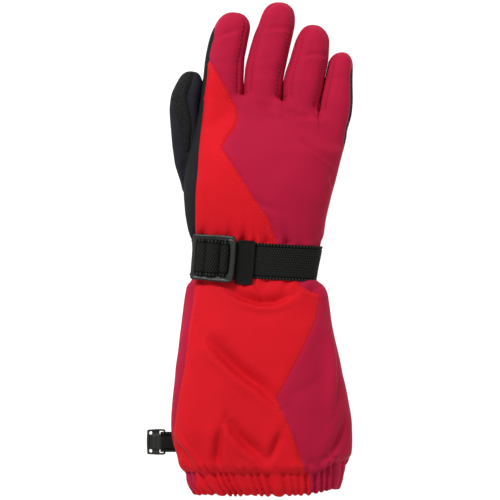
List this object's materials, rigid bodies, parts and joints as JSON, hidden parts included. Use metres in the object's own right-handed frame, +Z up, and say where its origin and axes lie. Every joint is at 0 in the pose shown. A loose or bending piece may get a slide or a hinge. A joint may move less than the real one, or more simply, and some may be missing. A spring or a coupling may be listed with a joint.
{
  "type": "ski glove",
  "caption": "Right-hand ski glove with padded fingers, a buckled wrist strap and a long flared gauntlet cuff with an elastic hem and a pair clip.",
  "frame": {"origin": "middle of the underside of the bounding box, on the surface the glove lies on", "axes": "+Y towards the fingertips, +Z up through the back of the hand, +X towards the little finger; the thumb is at -X"},
  "size_m": [0.144, 0.3474, 0.048],
  "materials": {
    "crimson_softshell": "matte, very fine twill",
    "red_softshell": "matte, very fine twill",
    "black_softshell": "matte, fine weave",
    "navy_softshell": "matte, fine weave",
    "palm_leather": "matte synthetic leather, fine grain",
    "grip_leather": "matte synthetic leather with small raised dots",
    "fleece_lining": "brushed fleece",
    "elastic": "ribbed woven elastic",
    "webbing": "twill woven polyester webbing",
    "black_plastic": "moulded acetal, fine satin texture",
    "label": "plain satin ribbon"
  },
  "bodies": {
    "cuff": {"cuff_front_red": "red_softshell", "cuff_left_crimson": "crimson_softshell", "cuff_right_crimson": "crimson_softshell", "cuff_palm_panel": "crimson_softshell", "cuff_lining": "fleece_lining", "hem_channel_red": "red_softshell", "hem_channel_crimson": "crimson_softshell", "hem_elastic": "elastic", "hem_facing": "fleece_lining", "care_label": "label", "wrist_gather": "crimson_softshell", "wrist_elastic": "elastic", "wrist_lining": "fleece_lining", "wrist_webbing": "webbing", "adjuster_webbing": "webbing", "strap_anchor_patch": "palm_leather", "keeper_loop": "webbing", "strap_tab_plate": "black_plastic", "clip_webbing_tab": "webbing"},
    "hand": {"side_strip_black": "black_softshell", "back_panel_red": "red_softshell", "back_panel_crimson": "crimson_softshell", "palm_panel": "palm_leather", "hand_lining": "fleece_lining"},
    "index": {"index_back": "crimson_softshell", "index_wall_left": "crimson_softshell", "index_wall_right": "crimson_softshell", "index_palm": "palm_leather", "index_lining": "fleece_lining"},
    "middle": {"middle_back": "crimson_softshell", "middle_wall_left": "crimson_softshell", "middle_wall_right": "crimson_softshell", "middle_palm": "palm_leather", "middle_lining": "fleece_lining"},
    "ring": {"ring_back": "crimson_softshell", "ring_wall_left": "crimson_softshell", "ring_wall_right": "crimson_softshell", "ring_palm": "palm_leather", "ring_lining": "fleece_lining"},
    "little": {"little_back": "crimson_softshell", "little_wall_left": "crimson_softshell", "little_wall_right": "crimson_softshell", "little_palm": "palm_leather", "little_lining": "fleece_lining"},
    "thumb": {"thumb_back": "navy_softshell", "thumb_grip_patch": "grip_leather", "thumb_palm": "palm_leather", "thumb_lining": "fleece_lining"},
    "buckle": {"ladder_lock_buckle": "black_plastic", "buckle_webbing": "webbing"},
    "clip": {"pair_clip": "black_plastic"}
  },
  "joints": [
    {"name": "wrist_flex", "type": "hinge", "parent": "cuff", "child": "hand", "pos_m": [0.00464, 0.00752, 0.0032], "axis": [-1, 0, 0], "range_deg": [0, 35]},
    {"name": "index_flex", "type": "hinge", "parent": "hand", "child": "index", "pos_m": [-0.01786, 0.10552, 0], "axis": [-1, 0, 0], "range_deg": [0, 60]},
    {"name": "middle_flex", "type": "hinge", "parent": "hand", "child": "middle", "pos_m": [0.00964, 0.10682, 0], "axis": [-1, 0, 0], "range_deg": [0, 60]},
    {"name": "ring_flex", "type": "hinge", "parent": "hand", "child": "ring", "pos_m": [0.03564, 0.10082, 0], "axis": [-1, 0, 0], "range_deg": [0, 60]},
    {"name": "little_flex", "type": "hinge", "parent": "hand", "child": "little", "pos_m": [0.06014, 0.09192, 0], "axis": [-1, 0, 0], "range_deg": [0, 60]},
    {"name": "thumb_swing", "type": "hinge", "parent": "hand", "child": "thumb", "pos_m": [-0.03886, 0.07882, 0], "axis": [-0.1669, -0.986, 0], "range_deg": [0, 45]},
    {"name": "buckle_tilt", "type": "hinge", "parent": "cuff", "child": "buckle", "pos_m": [-0.01716, -0.00758, 0.0395], "axis": [0.0785, 0.9969, 0], "range_deg": [0, 20]},
    {"name": "clip_swing", "type": "hinge", "parent": "cuff", "child": "clip", "pos_m": [-0.05956, -0.13658, 0.0034], "axis": [0, 1, 0], "range_deg": [0, 90]}
  ]
}
